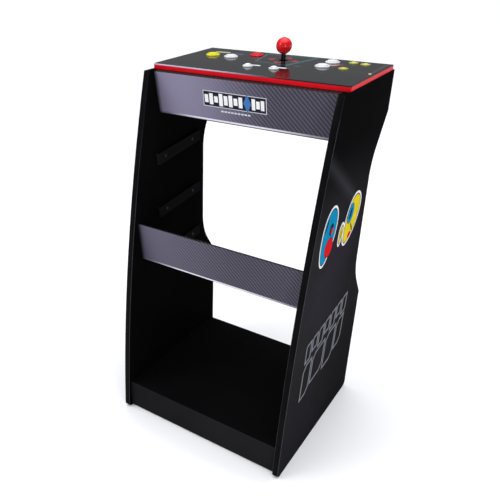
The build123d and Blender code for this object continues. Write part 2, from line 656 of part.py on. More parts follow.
with BuildPart() as button_switches:
    for x, y, style in CONTROLS.values():
        base = deck_plane(x, y, -BARREL_DEPTH)
        block(base, SWITCH_X, SWITCH_Y, -SWITCH_H)
        for along in (-4.5, 4.5):
            tab = Plane(origin=base.from_local_coords((along, 0, -SWITCH_H)), x_dir=(1, 0, 0),
                        z_dir=base.z_dir)
            block(tab, *SWITCH_TAB)
save(button_switches, "button_switches")

# ---- joystick ----
stick_top = deck_plane(*JOYSTICK)
pivot = deck_plane(*JOYSTICK, PIVOT_Z)


def at_height(height):
    return deck_plane(*JOYSTICK, height)


def half_plane():
    """Upright plane through the stick's axis, local +X across and local +Y up from the deck's surface."""
    return Plane(origin=stick_top.origin, x_dir=(1, 0, 0), z_dir=-stick_top.y_dir)


def across(place_y, height):
    """Plane facing back along the deck, at a distance behind the stick's axis."""
    return Plane(origin=stick_top.from_local_coords((0, place_y, height)), x_dir=(1, 0, 0),
                 z_dir=stick_top.y_dir)


def sideways(place_x, height):
    """Plane facing +X at a distance to the right of the stick's axis."""
    return Plane(origin=stick_top.from_local_coords((place_x, 0, height)), z_dir=(1, 0, 0))


STICK_AXIS = Axis(stick_top.origin, stick_top.z_dir)

with BuildPart() as ball_top:
    with BuildSketch(half_plane()) as half:
        with BuildLine():
            base_z = BALL_Z - (BALL_R ** 2 - COVER_R ** 2) ** 0.5
            ThreePointArc((COVER_R, base_z), (BALL_R, BALL_Z), (0, BALL_Z + BALL_R))
            Polyline((0, BALL_Z + BALL_R), (0, BALL_SEAT), (SHAFT_R, BALL_SEAT), (SHAFT_R, base_z),
                     (COVER_R, base_z))
        make_face()
    revolve(half.sketch, axis=STICK_AXIS)
save(ball_top, "ball_top")

with BuildPart() as shaft:
    disc(at_height(SHAFT_END), SHAFT_R, BALL_SEAT - SHAFT_END)
    disc(across(-5.2, PIVOT_Z), 4.2, 10.4)
    disc(across(-9.0, PIVOT_Z), CROSS_PIN_R, 18)
    disc(at_height(CLIP_Z), SHAFT_R + 1, CLIP_T, Mode.SUBTRACT, inner=SHAFT_R - 0.6)
save(shaft, "joystick_shaft")

with BuildPart() as shaft_cover:
    disc(at_height(-1.5), COVER_R, base_z + 1.5, inner=SHAFT_R)
save(shaft_cover, "joystick_shaft_cover")

with BuildPart() as dust_dome:
    edge = radians(DOME_ANGLE)
    with BuildSketch(Plane(origin=pivot.origin, x_dir=(1, 0, 0), z_dir=-pivot.y_dir)) as half:
        with BuildLine():
            inner_r = DOME_R - DOME_T
            outer = ThreePointArc((SHAFT_R, (DOME_R ** 2 - SHAFT_R ** 2) ** 0.5),
                                  (DOME_R * sin(edge * 0.6), DOME_R * cos(edge * 0.6)),
                                  (DOME_R * sin(edge), DOME_R * cos(edge)))
            inner = ThreePointArc((inner_r * sin(edge), inner_r * cos(edge)),
                                  (inner_r * sin(edge * 0.6), inner_r * cos(edge * 0.6)),
                                  (SHAFT_R, (inner_r ** 2 - SHAFT_R ** 2) ** 0.5))
            Line(outer @ 1, inner @ 0)
            Line(inner @ 1, outer @ 0)
        make_face()
    revolve(half.sketch, axis=STICK_AXIS)
save(dust_dome, "joystick_dust_dome")

with BuildPart() as mounting_plate:
    with BuildSketch(at_height(-DECK_THICKNESS)) as sheet:
        with Locations((0, PLATE_SHIFT)):
            RectangleRounded(84, 54, 4)
        Circle(15, mode=Mode.SUBTRACT)
        with Locations((0, PLATE_SHIFT)):
            with GridLocations(74, 38, 2, 2):
                Circle(PLATE_SCREW_R, mode=Mode.SUBTRACT)
    extrude(sheet.sketch, amount=-PLATE_T)
save(mounting_plate, "joystick_mounting_plate")

GIMBAL_X, GIMBAL_Y, GIMBAL_H = 36.0, 20.0, 8.0
AXLE_R = 2.5
with BuildPart() as housing:
    block(at_height(HOUSING_TOP), HOUSING_X, HOUSING_Y, GATE_Z - HOUSING_TOP, corner=4)
    block(at_height(HOUSING_TOP), HOUSING_X - 2 * HOUSING_WALL, HOUSING_Y - 2 * HOUSING_WALL,
          GATE_Z - HOUSING_TOP, Mode.SUBTRACT, corner=2)
    for side in SIDES:
        boss = sideways(side * (HOUSING_X / 2 - HOUSING_WALL), PIVOT_Z)
        disc(boss, 5.5, -side * 5)
        disc(sideways(side * HOUSING_X / 2, PIVOT_Z), AXLE_R, -side * 10, Mode.SUBTRACT)
save(housing, "joystick_housing")

with BuildPart() as gimbal:
    block(at_height(PIVOT_Z - GIMBAL_H / 2), GIMBAL_X, GIMBAL_Y, GIMBAL_H, corner=2)
    block(at_height(PIVOT_Z - GIMBAL_H / 2), 26, 11, GIMBAL_H, Mode.SUBTRACT)
    disc(across(-GIMBAL_Y / 2, PIVOT_Z), CROSS_PIN_R + RUNNING_GAP, GIMBAL_Y, Mode.SUBTRACT)
    for side in SIDES:
        disc(sideways(side * (GIMBAL_X / 2 - 1), PIVOT_Z), AXLE_R - RUNNING_GAP,
             side * (29.5 - GIMBAL_X / 2 + 1))
save(gimbal, "joystick_gimbal")

with BuildPart() as actuator:
    disc(at_height(ACTUATOR_END), ACTUATOR_R, SPRING_FOOT - ACTUATOR_END, inner=SHAFT_R)
    chamfer(actuator.edges().group_by(Axis.Z)[0], length=0.5)
save(actuator, "joystick_actuator")

with BuildPart() as e_clip:
    disc(at_height(CLIP_Z), 4.6, CLIP_T, inner=SHAFT_R - 0.6)
    block(across(-6, CLIP_Z), 2.2, 2, 6, Mode.SUBTRACT)
save(e_clip, "joystick_e_clip")

with BuildPart() as gate:
    block(at_height(GATE_Z), HOUSING_X, HOUSING_Y, -GATE_T, corner=4)
    swing = (PIVOT_Z - GATE_Z + GATE_T) * tan(radians(TILT_MAX))
    opening = 2 * (ACTUATOR_R + swing + GATE_GAP)
    block(at_height(GATE_Z), opening, opening, -GATE_T, Mode.SUBTRACT, corner=3)
save(gate, "joystick_restrictor_gate")

with BuildPart() as stick_switches:
    for side in SIDES:
        for x, y, width, depth in ((side * 14.4, 0, 6, 12.8), (0, side * 14.4, 12.8, 6)):
            base = Plane(origin=at_height(GATE_Z).from_local_coords((x, y, 0)), x_dir=(1, 0, 0),
                         z_dir=stick_top.z_dir)
            block(base, width, depth, 8)
save(stick_switches, "joystick_switches")

with BuildPart() as return_spring:
    spring_base = at_height(SPRING_FOOT + SPRING_WIRE + 0.05)
    with BuildLine() as coil:
        Helix(pitch=SPRING_PITCH, height=SPRING_H, radius=SPRING_R, center=spring_base.origin,
              direction=spring_base.z_dir)
    with BuildSketch(Plane(origin=coil.line @ 0, z_dir=coil.line % 0)) as wire:
        Circle(SPRING_WIRE)
    sweep(wire.sketch, path=coil.line, is_frenet=True)
save(return_spring, "joystick_spring")

with BuildPart() as plate_screws:
    for plane in plate_screw_planes():
        disc(plane.offset(-PLATE_T), PLATE_SCREW_R, 9 + PLATE_T)
        disc(plane.offset(-PLATE_T), 3.6, -2.2)
save(plate_screws, "joystick_screws")
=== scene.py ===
"""Looks of the arcade cabinet: materials, moulded detail, printed graphics, light and camera."""
import json
from math import asin, cos, degrees, pi, radians, sin

import bmesh
import bpy
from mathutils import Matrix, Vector


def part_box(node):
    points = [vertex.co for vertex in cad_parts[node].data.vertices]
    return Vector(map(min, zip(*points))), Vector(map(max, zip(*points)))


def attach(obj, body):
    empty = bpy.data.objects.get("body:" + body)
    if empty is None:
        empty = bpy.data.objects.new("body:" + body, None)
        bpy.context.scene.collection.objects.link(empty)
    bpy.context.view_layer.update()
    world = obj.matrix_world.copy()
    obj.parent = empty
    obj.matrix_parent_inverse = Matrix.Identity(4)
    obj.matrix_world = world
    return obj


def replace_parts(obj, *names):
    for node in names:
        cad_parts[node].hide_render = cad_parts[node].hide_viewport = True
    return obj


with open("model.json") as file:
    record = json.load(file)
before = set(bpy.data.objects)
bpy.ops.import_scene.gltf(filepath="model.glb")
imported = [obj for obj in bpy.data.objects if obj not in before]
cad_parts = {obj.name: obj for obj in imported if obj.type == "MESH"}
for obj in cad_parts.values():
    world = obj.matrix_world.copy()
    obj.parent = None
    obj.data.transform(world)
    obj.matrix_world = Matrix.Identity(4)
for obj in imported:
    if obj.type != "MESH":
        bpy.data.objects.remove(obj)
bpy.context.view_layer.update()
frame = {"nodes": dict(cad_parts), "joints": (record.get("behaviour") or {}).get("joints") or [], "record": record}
scene = bpy.context.scene
joints = {j["name"]: j for j in frame["joints"]}
MM = 0.001
BOARD_T = 15 * MM          # the apron's and the side panels' thickness
FILM = 0.12 * MM           # one layer of printed vinyl
FILM_GAP = 0.02 * MM       # keeps the lowest layer off the board's own face

# push buttons, by node, and the colour of their plungers
BUTTONS = {"yellow_button": "yellow", "white_button_left": "white", "red_button": "red",
           "white_button_front": "white", "white_button_back": "white", "start_button_left": "white",
           "start_button_right": "white", "menu_button_front": "pale_yellow",
           "menu_button_left": "pale_yellow", "menu_button_right": "pale_yellow"}


# ---- places on the deck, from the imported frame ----
deck_normal = Vector(joints["yellow_button_press"]["axis"]).normalized()
deck_back = Vector((1, 0, 0)).cross(-deck_normal).normalized()
overlay_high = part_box("deck_overlay")[1]
deck_front_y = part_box("deck_edge_trim")[0].y
deck_rear = Vector((0, overlay_high.y, overlay_high.z))
deck_front = deck_rear + deck_back * ((deck_front_y - deck_rear.y) / deck_back.y)


def on_deck(x, along, height=0.0):
    """Point at x, a distance behind the deck's front edge, and a height over its top."""
    return deck_front + Vector((x, 0, 0)) + deck_back * along + deck_normal * height


def deck_place(node):
    """(x, distance behind the front edge) of a node that stands upright on the deck."""
    low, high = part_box(node)
    middle = (low + high) / 2
    return middle.x, (middle - deck_front).dot(deck_back)


# ---- node trees ----
class Look:
    """One material's node tree, with short-hands that return sockets."""

    def __init__(self, name, roughness=0.4, specular=0.5, metallic=0.0):
        self.material = bpy.data.materials.new(name)
        self.material.use_nodes = True
        self.tree = self.material.node_tree
        self.shader = self.tree.nodes["Principled BSDF"]
        self.set("Roughness", roughness)
        self.set("Specular IOR Level", specular)
        self.set("Metallic", metallic)
        where = self.tree.nodes.new("ShaderNodeTexCoord")
        self.place, self.facing = where.outputs["Object"], where.outputs["Normal"]

    def set(self, socket, value):
        self.feed(self.shader.inputs[socket], value)

    def feed(self, socket, value):
        if isinstance(value, bpy.types.NodeSocket):
            self.tree.links.new(value, socket)
        elif socket.type == "RGBA":
            socket.default_value = (*value[:3], 1)
        else:
            socket.default_value = value

    def math(self, operation, *values, clamp=False):
        node = self.tree.nodes.new("ShaderNodeMath")
        node.operation = operation
        node.use_clamp = clamp
        for socket, value in zip(node.inputs, values):
            self.feed(socket, value)
        return node.outputs[0]

    def mix(self, factor, a, b):
        node = self.tree.nodes.new("ShaderNodeMix")
        node.data_type = "RGBA"
        for name, value in (("Factor_Float", factor), ("A_Color", a), ("B_Color", b)):
            self.feed(next(s for s in node.inputs if s.identifier == name), value)
        return next(s for s in node.outputs if s.identifier == "Result_Color")

    def spread(self, value, low, high, to_low=0.0, to_high=1.0):
        """value from low..high mapped smoothly to to_low..to_high."""
        node = self.tree.nodes.new("ShaderNodeMapRange")
        node.interpolation_type = "SMOOTHSTEP"
        for socket, number in zip(node.inputs, (value, low, high, to_low, to_high)):
            self.feed(socket, number)
        return node.outputs[0]

    def axes(self, vector=None):
        node = self.tree.nodes.new("ShaderNodeSeparateXYZ")
        self.feed(node.inputs[0], vector or self.place)
        return node.outputs

    def along(self, direction, origin=Vector((0, 0, 0))):
        """Distance of the surface point from origin along a direction."""
        node = self.tree.nodes.new("ShaderNodeVectorMath")
        node.operation = "DOT_PRODUCT"
        self.feed(node.inputs[0], self.place)
        node.inputs[1].default_value = direction
        return self.math("SUBTRACT", node.outputs["Value"], origin.dot(direction))

    def noise(self, scale, detail=3.0, roughness=0.55, stretch=None):
        node = self.tree.nodes.new("ShaderNodeTexNoise")
        node.inputs["Scale"].default_value = scale
        node.inputs["Detail"].default_value = detail
        node.inputs["Roughness"].default_value = roughness
        self.feed(node.inputs["Vector"], self.stretched(stretch) if stretch else self.place)
        return node.outputs["Fac"]

    def stretched(self, scale):
        node = self.tree.nodes.new("ShaderNodeMapping")
        self.feed(node.inputs["Vector"], self.place)
        node.inputs["Scale"].default_value = scale
        return node.outputs[0]

    def bump(self, height, distance, strength=1.0):
        node = self.tree.nodes.new("ShaderNodeBump")
        node.inputs["Strength"].default_value = strength
        node.inputs["Distance"].default_value = distance
        self.feed(node.inputs["Height"], height)
        self.set("Normal", node.outputs[0])

    def stroke(self, x, y, start, end, half_width, soft=0.0006):
        """Mask of a round-ended line in the plane of two coordinates."""
        (ax, ay), (bx, by) = start, end
        length = ((bx - ax) ** 2 + (by - ay) ** 2) ** 0.5
        ux, uy = (bx - ax) / length, (by - ay) / length
        dx, dy = self.math("SUBTRACT", x, ax), self.math("SUBTRACT", y, ay)
        run = self.math("ADD", self.math("MULTIPLY", dx, ux), self.math("MULTIPLY", dy, uy))
        over = self.math("SUBTRACT", run, self.math("MINIMUM", self.math("MAXIMUM", run, 0.0), length))
        side = self.math("SUBTRACT", self.math("MULTIPLY", dy, ux), self.math("MULTIPLY", dx, uy))
        squares = self.math("ADD", self.math("MULTIPLY", over, over), self.math("MULTIPLY", side, side))
        return self.spread(self.math("SQRT", squares), half_width + soft, half_width - soft)


def srgb(*levels):
    """Linear colour from 0..255 display levels."""
    return [(v / 255 / 12.92 if v < 10.3 else ((v / 255 + 0.055) / 1.055) ** 2.4) for v in levels]


def moulded(name, dark, light, roughness, specular=0.5, grain=900.0, depth=0.00004):
    """Moulded plastic: faint mottling in colour and gloss, and a fine texture."""
    look = Look(name, specular=specular)
    mottle = look.noise(26.0, 4.0)
    look.set("Base Color", look.mix(look.spread(mottle, 0.3, 0.7), dark, light))
    haze = look.noise(40.0, 5.0)
    look.set("Roughness", look.spread(haze, 0.3, 0.7, roughness * 0.85, roughness * 1.15))
    look.bump(look.noise(grain, 2.0), depth, 0.4)
    return look.material


def metal(name, colour, roughness, brushed=(1.0, 1.0, 12.0)):
    """Plated or brushed metal, its scratches drawn out along one axis."""
    look = Look(name, metallic=1.0)
    scratch = look.noise(700.0, 4.0, stretch=brushed)
    tone = look.spread(scratch, 0.25, 0.75)
    look.set("Base Color", look.mix(tone, [c * 0.82 for c in colour], colour))
    look.set("Roughness", look.spread(scratch, 0.2, 0.8, roughness * 0.7, roughness * 1.3))
    look.bump(scratch, 0.00002, 0.5)
    return look.material


def board_look(name, low, high, roughness, specular):
    """Black film on board: pebbled, with a slightly cloudy print."""
    look = Look(name, specular=specular)
    cloud = look.spread(look.noise(4.0, 4.0), 0.35, 0.7)
    look.set("Base Color", look.mix(cloud, low, high))
    rub = look.noise(16.0, 5.0, 0.6)
    look.set("Roughness", look.spread(rub, 0.3, 0.72, roughness - 0.03, roughness + 0.04))
    look.bump(look.noise(1500.0, 2.0), 0.00003, 0.5)
    return look


def side_look():
    """Side panels: outer film near black at the top and charcoal lower down, more so towards the front and less
    near the floor, with a pale streak painted across it as a highlight; black inside.
    """
    look = board_look("side_film", srgb(10, 10, 11), srgb(13, 13, 14), 0.5, 0.0006)
    x, y, z = look.axes()
    outer_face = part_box("right_side_panel")[1].x - 1 * MM
    outer = look.math("GREATER_THAN", look.math("ABSOLUTE", x), outer_face)
    low_glow = look.math("MULTIPLY", look.spread(z, 0.80, 0.56), look.spread(y, 0.22, -0.10, 0.55, 1.0))
    foot_fade = look.spread(z, 0.02, 0.42, 0.5, 1.0)
    glow = look.math("MULTIPLY", look.math("MULTIPLY", low_glow, foot_fade), outer)
    base = look.shader.inputs["Base Color"].links[0].from_socket
    charcoal = look.mix(look.spread(look.noise(5.0), 0.3, 0.7), srgb(40, 40, 42), srgb(46, 44, 50))
    tint = look.mix(glow, base, charcoal)
    # painted highlight: a soft pale streak across the outer faces, standing in for a reflection
    highlight_streak_line = look.stroke(y, z, (-0.118, 0.775), (0.05, 0.655), 0.004, 0.026)
    painted_highlight_streak = look.math("MULTIPLY", look.math("MULTIPLY", highlight_streak_line, outer), 0.30)
    look.set("Base Color", look.mix(painted_highlight_streak, tint, srgb(96, 98, 106)))
    return look.material


def edge_look():
    """Black vinyl edge: satin face, its rounded corners polished by handling."""
    look = Look("edge_vinyl", roughness=0.3)
    x, y, _ = look.axes(look.facing)
    corner = look.math("MULTIPLY", look.spread(look.math("ABSOLUTE", x), 0.15, 0.35),
                       look.spread(look.math("ABSOLUTE", y), 0.15, 0.35))
    mottle = look.spread(look.noise(26.0, 4.0), 0.3, 0.7)
    look.set("Base Color", look.mix(mottle, srgb(10, 10, 11), srgb(15, 15, 17)))
    look.set("Specular IOR Level", look.spread(corner, 0.0, 1.0, 0.02, 1.0))
    look.set("Roughness", look.spread(corner, 0.0, 1.0, 0.4, 0.07))
    look.bump(look.noise(900.0, 2.0), 0.00003, 0.3)
    return look.material


def trim_look():
    """Red vinyl round the deck: gloss face, its dark top lip with a pale highlight painted on at the left front.
    """
    look = Look("red_vinyl", specular=0.06)
    x = look.axes()[0]
    d, height = look.along(deck_back, deck_front), look.along(deck_normal, deck_front)
    mottle = look.spread(look.noise(26.0, 4.0), 0.3, 0.7)
    red = look.mix(mottle, srgb(216, 12, 26), srgb(226, 18, 32))
    # painted highlight: the dark lip turns pale lavender towards the left front, a painted reflection
    painted_lip_highlight = look.math("MULTIPLY", look.spread(x, 0.10, -0.12), look.spread(d, 0.006, 0.003))
    lip = look.mix(painted_lip_highlight, srgb(34, 33, 36), srgb(196, 192, 216))
    look.set("Base Color", look.mix(look.spread(height, -2.6 * MM, -1.8 * MM), red, lip))
    look.set("Roughness", look.spread(look.noise(40.0, 5.0), 0.3, 0.7, 0.3, 0.36))
    look.bump(look.noise(900.0, 2.0), 0.00003, 0.3)
    return look.material


def black_look():
    """Black boards, the faces turned to the player, and partly those turned sideways, painted a little paler as
    painted light.
    """
    look = board_look("black_film", srgb(9, 9, 10), srgb(12, 12, 13), 0.5, 0.003)
    across, toward, _ = look.axes(look.facing)
    base = look.shader.inputs["Base Color"].links[0].from_socket
    # painted light: faces turned to the player get a paler lit colour, faces turned sideways part of it
    front = look.mix(look.spread(look.noise(3.0), 0.3, 0.7), srgb(25, 25, 27), srgb(33, 33, 35))
    colour = look.mix(look.spread(toward, -0.7, -0.95), base, front)
    painted_light_on_ends = look.spread(look.math("ABSOLUTE", across), 0.7, 0.95, 0.0, 0.4)
    look.set("Base Color", look.mix(painted_light_on_ends, colour, front))
    return look.material


def woven_look():
    """Printed carbon-like twill under a satin film, paler towards the left under a painted glare, with a painted
    highlight on the bottom lip, painted shade under it, and plain black edges.
    """
    look = Look("woven_print", specular=0.2)
    tow = 2.75 * MM
    apron_foot, mid_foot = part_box("front_apron")[0].z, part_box("mid_panel")[0].z
    between = (0.62, 0.70)     # heights over the mid panel and under the apron
    x, _, z = look.axes()
    up = look.axes(look.facing)[2]
    column, row = look.math("DIVIDE", x, tow), look.math("DIVIDE", z, tow)
    steps = look.math("ADD", look.math("FLOOR", column), look.math("FLOOR", row))
    over = look.math("LESS_THAN", look.math("FLOORED_MODULO", steps, 4.0), 2.0)
    crown_a, crown_b = look.math("PINGPONG", column, 0.5), look.math("PINGPONG", row, 0.5)
    under = look.math("SUBTRACT", 1.0, over)
    crown = look.math("MULTIPLY", 2.0, look.math("ADD", look.math("MULTIPLY", over, crown_a),
                                                 look.math("MULTIPLY", under, crown_b)))
    upper = look.spread(z, *between)
    # painted glare: the print is paler towards the left, less so on the mid panel
    glare = look.math("MULTIPLY", look.spread(x, 0.10, -0.17), look.spread(upper, 0.0, 1.0, 0.25, 1.0))
    fibre = look.noise(2600.0, 2.0, stretch=(1.0, 1.0, 0.1))
    dark = look.mix(glare, srgb(39, 37, 48), srgb(116, 110, 136))
    light = look.mix(glare, srgb(92, 88, 104), srgb(146, 141, 164))
    weave = look.math("MULTIPLY", look.math("ADD", look.math("MULTIPLY", over, 0.85), 0.15),
                      look.spread(crown, 0.0, 0.8, 0.4, 1.0))
    strands = look.math("MULTIPLY", look.math("SUBTRACT", fibre, 0.5), 0.3)
    full = look.math("ADD", weave, strands, clamp=True)
    # the weave fades out towards the left, washed out under the painted glare
    start = look.math("MULTIPLY", look.math("ADD", x, 0.19), look.spread(upper, 0.0, 1.0, 1.0, 0.42))
    contrast = look.spread(start, 0.02, 0.10, 0.04, 1.0)
    tone = look.math("ADD", 0.5, look.math("MULTIPLY", look.math("SUBTRACT", full, 0.5), contrast))
    print_colour = look.mix(tone, dark, light)
    over_foot = look.math("SUBTRACT", z, look.spread(z, *between, mid_foot, apron_foot))
    # painted highlight: a bright line on the upper part of the bottom round, palest in the middle of its run
    lip = look.math("MULTIPLY", look.spread(over_foot, 8.2 * MM, 7.4 * MM), look.spread(up, -0.58, -0.52))
    middle = look.math("MULTIPLY", look.spread(x, -0.21, -0.10), look.spread(x, 0.21, 0.04, 0.25, 1.0))
    lip_colour = look.mix(middle, srgb(112, 107, 128), srgb(232, 230, 242))
    # plain black on the top faces; the lower part of the bottom round painted dark as shade
    edge = look.math("ADD", look.spread(up, 0.2, 0.6), look.spread(up, -0.52, -0.60), clamp=True)
    end_shade = look.math("MULTIPLY", look.spread(x, -0.215, -0.2265), 0.8)
    colour = look.mix(lip, look.mix(edge, print_colour, srgb(9, 9, 10)), lip_colour)
    look.set("Base Color", look.mix(end_shade, colour, srgb(10, 10, 12)))
    look.set("Roughness", look.spread(tone, 0.0, 1.0, 0.55, 0.42))
    look.bump(crown, 0.00005, 0.3)
    return look.material


def deck_look():
    """Glossy printed sheet on the deck, with its marks placed round the controls."""
    look = Look("deck_print", specular=1.0)
    x = look.along(Vector((1, 0, 0)))
    d = look.along(deck_back, deck_front)
    speckle = look.noise(1900.0, 2.0)
    colour = look.mix(look.spread(speckle, 0.35, 0.7), srgb(24, 24, 27), srgb(30, 30, 33))
    teal, red, cream, pale = srgb(40, 98, 108), srgb(186, 30, 44), srgb(196, 196, 150), srgb(250, 250, 252)
    faint, lavender = srgb(74, 78, 66), srgb(104, 98, 150)
    # strokes: colour, start and end as (x, distance behind the front edge), half width
    marks = [
        (teal, (-0.048, 0.142), (-0.066, 0.236), 0.0024),
        (teal, (-0.048, 0.142), (0.037, 0.130), 0.0022),
        (teal, (-0.066, 0.236), (0.061, 0.246), 0.0020),
        (teal, (0.037, 0.130), (0.062, 0.242), 0.0045),
        (teal, (0.060, 0.131), (0.068, 0.133), 0.0034),
        (cream, (-0.190, 0.206), (-0.164, 0.209), 0.0074),
        (faint, (0.2285, 0.242), (0.2310, 0.130), 0.0016),
        (faint, (0.1634, 0.138), (0.2220, 0.1327), 0.0008),
        (cream, (0.2285, 0.135), (0.2315, 0.126), 0.0030),
        (lavender, (-0.147, 0.199), (-0.119, 0.201), 0.0045),
        (red, (0.1245, 0.1785), (0.1427, 0.1940), 0.0040),
    ]
    # four arrowheads round the stick
    stick = Vector(deck_place("joystick_shaft_cover"))
    reach, half = 0.029, 0.0068
    for turn in range(4):
        out = Vector((cos(turn * pi / 2), sin(turn * pi / 2)))
        across = Vector((-out.y, out.x)) * half
        tip = stick + out * (reach + half)
        for side in (-1, 1):
            tail = stick + out * (reach - half / 2) + across * side
            marks.append((red, tuple(tip), tuple(tail), 0.0040))
    # a dash behind each start button
    for name in ("start_button_left", "start_button_right"):
        bx, bd = deck_place(name)
        marks.append((pale, (bx - 0.003, bd + 0.0185), (bx + 0.0165, bd + 0.0195), 0.0052))
    for shade, start, end, width in marks:
        colour = look.mix(look.stroke(x, d, start, end, width), colour, shade)
    look.set("Base Color", colour)
    wipe = look.noise(9.0, 5.0, 0.6, stretch=(1.0, 3.0, 1.0))
    look.set("Roughness", look.spread(wipe, 0.3, 0.7, 0.07, 0.12))
    look.bump(look.noise(240.0, 2.0), 0.00002, 0.1)
    return look.material


def grained(name, dark, light, roughness=0.6):
    """Plain wood, its grain running along X."""
    look = Look(name, specular=0.35)
    ring = look.noise(160.0, 5.0, 0.6, stretch=(0.08, 1.0, 1.0))
    look.set("Base Color", look.mix(look.spread(ring, 0.3, 0.7), dark, light))
    look.set("Roughness", look.spread(ring, 0.2, 0.8, roughness + 0.08, roughness - 0.08))
    look.bump(ring, 0.0001, 0.4)
    return look.material


def circuit_look():
    """Green solder mask over copper tracks."""
    look = Look("solder_mask", specular=0.55)
    x, y, _ = look.axes()
    lanes = look.math("PINGPONG", look.math("DIVIDE", look.math("ADD", x, look.math("MULTIPLY", y, 0.6)),
                                            2.4 * MM), 0.5)
    track = look.math("MULTIPLY", look.spread(lanes, 0.3, 0.36), look.spread(look.noise(90.0), 0.45, 0.55))
    look.set("Base Color", look.mix(track, srgb(14, 70, 40), srgb(40, 110, 62)))
    look.set("Roughness", look.spread(track, 0.0, 1.0, 0.35, 0.28))
    look.bump(track, 0.00005, 0.6)
    return look.material


MATERIALS = {
    "side_board": side_look(),
    "printed_board": woven_look(),
    "black_board": black_look(),
    "edge_moulding": edge_look(),
    "red_moulding": trim_look(),
    "deck_core": board_look("deck_faced", srgb(12, 12, 13), srgb(16, 16, 18), 0.5, 0.2).material,
    "deck_print": deck_look(),
    "dome_grey": moulded("dome_charcoal", srgb(58, 58, 62), srgb(66, 66, 70), 0.2, 0.5),
    "beech": grained("beech_dowel", srgb(176, 132, 84), srgb(214, 172, 120)),
    "zinc": metal("zinc_plate", srgb(196, 198, 202), 0.32),
    "black_zinc": metal("black_zinc_plate", srgb(26, 26, 28), 0.45),
    "zamak": metal("zamak_cast", srgb(150, 151, 155), 0.5, (1.0, 1.0, 1.0)),
    "steel_shaft": metal("black_nickel", srgb(48, 48, 52), 0.2),
    "shaft_sleeve": moulded("sleeve_black", srgb(6, 6, 7), srgb(9, 9, 10), 0.25, 0.3),
    "red_ball": moulded("ball_red", srgb(222, 12, 22), srgb(236, 20, 30), 0.2, 0.4),
    "black_moulding": moulded("black_moulded", srgb(11, 11, 12), srgb(15, 15, 17), 0.45, 0.2),
    "white_button": moulded("cap_white", srgb(226, 226, 228), srgb(240, 240, 241), 0.25, 0.4),
    "yellow_button": moulded("cap_yellow", srgb(222, 214, 12), srgb(236, 228, 26), 0.25, 0.4),
    "pale_yellow_button": moulded("cap_pale", srgb(190, 188, 84), srgb(206, 204, 104), 0.3, 0.3),
    "red_button": moulded("cap_red", srgb(208, 16, 36), srgb(222, 24, 44), 0.25, 0.4),
    "button_rim": moulded("rim_white", srgb(216, 216, 220), srgb(232, 232, 235), 0.3),
    "small_rim": moulded("rim_pale", srgb(150, 149, 70), srgb(168, 167, 86), 0.3, 0.3),
    "circuit_board": circuit_look(),
    "chip_black": moulded("chip_epoxy", srgb(24, 24, 25), srgb(34, 34, 36), 0.6),
    "nylon": moulded("nylon_natural", srgb(208, 204, 192), srgb(222, 219, 210), 0.5),
    "cone_fibre": moulded("paper_cone", srgb(26, 25, 24), srgb(40, 38, 36), 0.85, 0.2, depth=0.0001),
    "ferrite": moulded("ferrite_dark", srgb(52, 52, 54), srgb(70, 70, 73), 0.7, depth=0.0001),
    "spring_steel": metal("spring_wire", srgb(190, 192, 197), 0.25),
    "hardboard": grained("hardboard_brown", srgb(78, 54, 34), srgb(102, 72, 46), 0.65),
}
for part in frame["record"]["subparts"]:
    mesh = frame["nodes"][part["node"]].data
    mesh.materials.clear()
    mesh.materials.append(MATERIALS[part["material_slot"]])


# ---- mesh pieces ----
def piece(name, body, slot, build, *materials):
    """New mesh object made by build(bm), riding on a body and finished from a slot."""
    mesh = bpy.data.meshes.new(name)
    bm = bmesh.new()
    build(bm)
    bmesh.ops.recalc_face_normals(bm, faces=bm.faces)
    bm.to_mesh(mesh)
    bm.free()
    for material in materials or (MATERIALS[slot],):
        mesh.materials.append(material)
    made = bpy.data.objects.new(name, mesh)
    scene.collection.objects.link(made)
    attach(made, body)
    return made


def lathe(profile, origin, axis=deck_normal, steps=96):
    """Builder of a closed solid of revolution from (radius, height) points, first and last on the axis."""
    across = axis.orthogonal().normalized()
    other = axis.cross(across)

    def build(bm):
        rings = []
        for radius, height in profile:
            centre = origin + axis * height
            if radius < 1e-7:
                rings.append([bm.verts.new(centre)])
            else:
                angles = (2 * pi * k / steps for k in range(steps))
                rings.append([bm.verts.new(centre + (across * cos(a) + other * sin(a)) * radius)
                              for a in angles])
        for low, high in zip(rings, rings[1:]):
            for k in range(steps):
                corners = [low[k % len(low)], low[(k + 1) % len(low)], high[(k + 1) % len(high)],
                           high[k % len(high)]]
                corners = list(dict.fromkeys(corners))
                if len(corners) > 2:
                    bm.faces.new(corners).smooth = True
    return build


def arc(centre, radius, start, end, steps=6):
    """Points on an arc in the (radius, height) plane, angles in degrees."""
    angles = (radians(start + (end - start) * k / steps) for k in range(steps + 1))
    return [(centre[0] + radius * cos(a), centre[1] + radius * sin(a)) for a in angles]


def shade_edges(made, angle=35):
    """Smooth shading that keeps edges sharper than an angle."""
    made.data.set_sharp_from_angle(angle=radians(angle))
    return made


def prism(bm, outline, depth, to_frame, index=0, hole=None):
    """Closed plate from an outline in a plane, or a flat ring if hole is an outline of as many points."""
    def loop(points, height):
        return [bm.verts.new(to_frame(a, b, height)) for a, b in points]

    low, high = loop(outline, 0.0), loop(outline, depth)
    count = len(outline)
    faces = [bm.faces.new((low[k], low[(k + 1) % count], high[(k + 1) % count], high[k]))
             for k in range(count)]
    if hole is None:
        faces += [bm.faces.new(low), bm.faces.new(high)]
    else:
        low_in, high_in = loop(hole, 0.0), loop(hole, depth)
        for k in range(count):
            after = (k + 1) % count
            faces += [bm.faces.new((low_in[k], low_in[after], high_in[after], high_in[k])),
                      bm.faces.new((low[k], low[after], low_in[after], low_in[k])),
                      bm.faces.new((high[k], high[after], high_in[after], high_in[k]))]
    for face in faces:
        face.material_index = index


